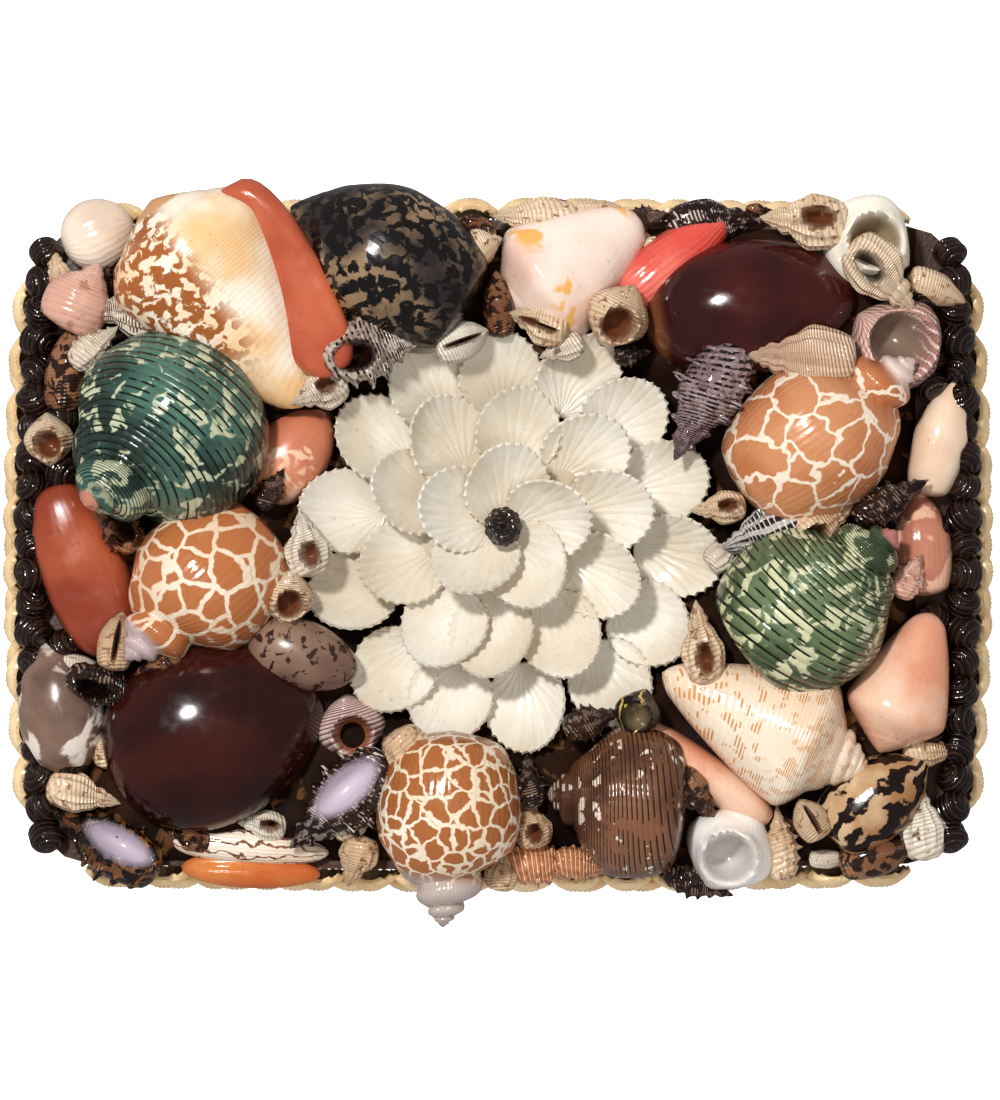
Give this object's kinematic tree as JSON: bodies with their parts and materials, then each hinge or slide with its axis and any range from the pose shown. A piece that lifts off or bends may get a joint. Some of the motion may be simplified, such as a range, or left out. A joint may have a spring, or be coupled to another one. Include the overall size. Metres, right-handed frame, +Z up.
{
  "type": "shell box",
  "caption": "Hollow wooden box with a lift-off lid covered in a mosaic of sea shells round a white cockle flower.",
  "frame": {"origin": "on the ground under the middle of the box", "axes": "+X to the right along the long side, +Y to the back, +Z up through the lid"},
  "size_m": [0.2526, 0.1877, 0.0983],
  "materials": {
    "box_wood": "matt brown stained wood",
    "dark_shell": "varnished natural shell",
    "cream_shell": "varnished natural shell",
    "white_shell": "varnished natural shell",
    "pink_shell": "varnished natural shell",
    "orange_shell": "varnished natural shell",
    "purple_shell": "varnished natural shell",
    "teal_shell": "varnished natural shell",
    "green_shell": "varnished natural shell",
    "red_shell": "varnished natural shell",
    "brown_shell": "varnished natural shell",
    "grey_shell": "varnished natural shell"
  },
  "bodies": {
    "root": {"babylonia_left": "orange_shell", "babylonia_right": "orange_shell", "bead_row_left": "dark_shell", "bead_row_right": "dark_shell", "black_volute": "dark_shell", "box_body": "box_wood", "cockle_row_back": "cream_shell", "cockle_row_front": "cream_shell", "cockle_row_left": "cream_shell", "cockle_row_right": "cream_shell", "coral_lip": "red_shell", "corner_shell": "brown_shell", "cream_olive": "cream_shell", "flower_button": "dark_shell", "giraffe_babylonia": "orange_shell", "green_turban": "green_shell", "grey_cowrie": "grey_shell", "lid": "box_wood", "lilac_mouth": "dark_shell", "moon_snail": "white_shell", "morula": "dark_shell", "mottled_conch": "orange_shell", "murex": "grey_shell", "orange_lip": "orange_shell", "orange_rock_shell": "orange_shell", "pale_nassa": "cream_shell", "petal_inner_1": "white_shell", "petal_inner_2": "white_shell", "petal_inner_3": "white_shell", "petal_inner_4": "white_shell", "petal_inner_5": "white_shell", "petal_ring_middle": "white_shell", "petal_ring_outer": "white_shell", "pink_conch": "pink_shell", "pink_cone": "pink_shell", "pink_cowrie": "pink_shell", "pink_wedge_conch": "pink_shell", "purple_cowrie_left": "purple_shell", "purple_cowrie_right": "purple_shell", "ribbed_snail": "pink_shell", "small_cowrie": "grey_shell", "small_whelk": "cream_shell", "speckled_whelk": "dark_shell", "striped_conch": "white_shell", "striped_snail": "brown_shell", "striped_whelk": "grey_shell", "teal_turban": "teal_shell", "terracotta_lip": "red_shell", "tiger_cone": "brown_shell", "top_shell": "pink_shell", "white_clam": "white_shell", "white_nerite": "white_shell", "white_olive": "white_shell", "zebra_nassa": "grey_shell"}
  },
  "joints": []
}
